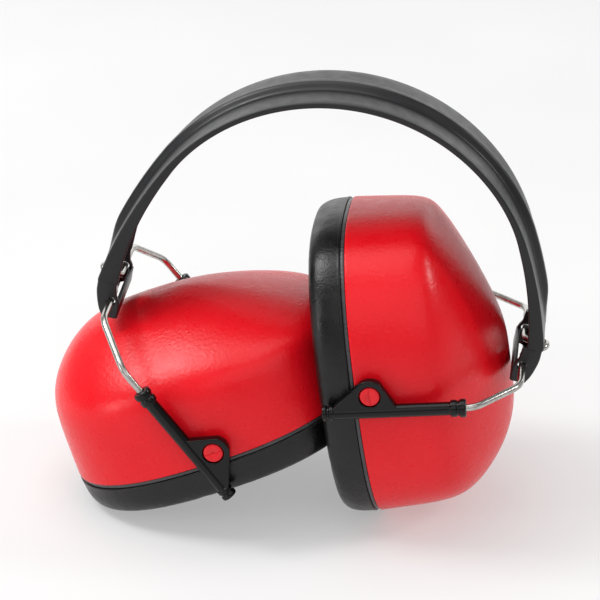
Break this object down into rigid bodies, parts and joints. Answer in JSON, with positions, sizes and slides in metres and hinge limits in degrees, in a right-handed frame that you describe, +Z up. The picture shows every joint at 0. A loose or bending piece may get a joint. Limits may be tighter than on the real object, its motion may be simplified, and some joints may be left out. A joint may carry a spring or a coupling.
{
  "type": "earmuff hearing protector",
  "caption": "Folding earmuff hearing protector: red sealed ear cups with black cushions on wire yokes under a ribbed black headband, nested for storage.",
  "frame": {"origin": "under the centre of the whole object's box, on the surface the folded earmuff lies on", "axes": "+Z up, +X from the left cup to the right cup, -Y to the front side of the headband"},
  "size_m": [0.166, 0.0978, 0.1482],
  "materials": {
    "band_plastic": "satin black moulding",
    "yoke_wire": "bright drawn wire",
    "arm_plastic": "glossy black moulding",
    "cup_plastic": "satin red with a fine orange-peel grain",
    "seat_plastic": "dark grey moulding",
    "cushion_vinyl": "soft black vinyl skin with fine wrinkles",
    "cushion_foam": "open-cell foam",
    "liner_foam": "dark open-cell foam"
  },
  "bodies": {
    "headband": {"headband": "band_plastic"},
    "left_yoke": {"left_yoke_wire": "yoke_wire"},
    "left_arms": {"left_slider_arm_front": "arm_plastic", "left_slider_arm_rear": "arm_plastic"},
    "left_cup": {"left_pivot_stud_front": "cup_plastic", "left_pivot_stud_rear": "cup_plastic", "left_cup_shell": "cup_plastic", "left_cushion_seat": "seat_plastic", "left_cushion_skin": "cushion_vinyl", "left_cushion_foam": "cushion_foam", "left_foam_liner": "liner_foam"},
    "right_yoke": {"right_yoke_wire": "yoke_wire"},
    "right_arms": {"right_slider_arm_front": "arm_plastic", "right_slider_arm_rear": "arm_plastic"},
    "right_cup": {"right_pivot_stud_front": "cup_plastic", "right_pivot_stud_rear": "cup_plastic", "right_cup_shell": "cup_plastic", "right_cushion_seat": "seat_plastic", "right_cushion_skin": "cushion_vinyl", "right_cushion_foam": "cushion_foam", "right_foam_liner": "liner_foam"}
  },
  "joints": [
    {"name": "left_yoke_fold", "type": "hinge", "parent": "headband", "child": "left_yoke", "pos_m": [-0.0616, 0, 0.07398], "axis": [0, 1, 0], "range_deg": [0, 48.95]},
    {"name": "right_yoke_fold", "type": "hinge", "parent": "headband", "child": "right_yoke", "pos_m": [0.07451, 0, 0.0571], "axis": [0, -1, 0], "range_deg": [0, 74.2]},
    {"name": "left_arm_slide", "type": "slide", "parent": "left_yoke", "child": "left_arms", "axis": [0.6218, 0, -0.7832], "range_m": [0, 0.00402]},
    {"name": "right_arm_slide", "type": "slide", "parent": "right_yoke", "child": "right_arms", "axis": [-0.9957, 0, -0.0931], "range_m": [0, 0.01852]},
    {"name": "left_cup_swing", "type": "hinge", "parent": "left_arms", "child": "left_cup", "pos_m": [-0.02379, 0, 0.03569], "axis": [0, -1, 0], "range_deg": [0, 106.7]},
    {"name": "right_cup_swing", "type": "hinge", "parent": "right_arms", "child": "right_cup", "pos_m": [0.02697, 0, 0.05848], "axis": [0, 1, 0], "range_deg": [0, 92.5]}
  ],
  "couplings": [
    {"joint": "right_yoke_fold", "follows": "left_yoke_fold", "ratio": 1.515},
    {"joint": "left_arm_slide", "follows": "left_yoke_fold", "m_per_rad": 0.004682},
    {"joint": "right_arm_slide", "follows": "left_yoke_fold", "m_per_rad": 0.021654},
    {"joint": "left_cup_swing", "follows": "left_yoke_fold", "ratio": 2.1788},
    {"joint": "right_cup_swing", "follows": "left_yoke_fold", "ratio": 1.8889}
  ]
}
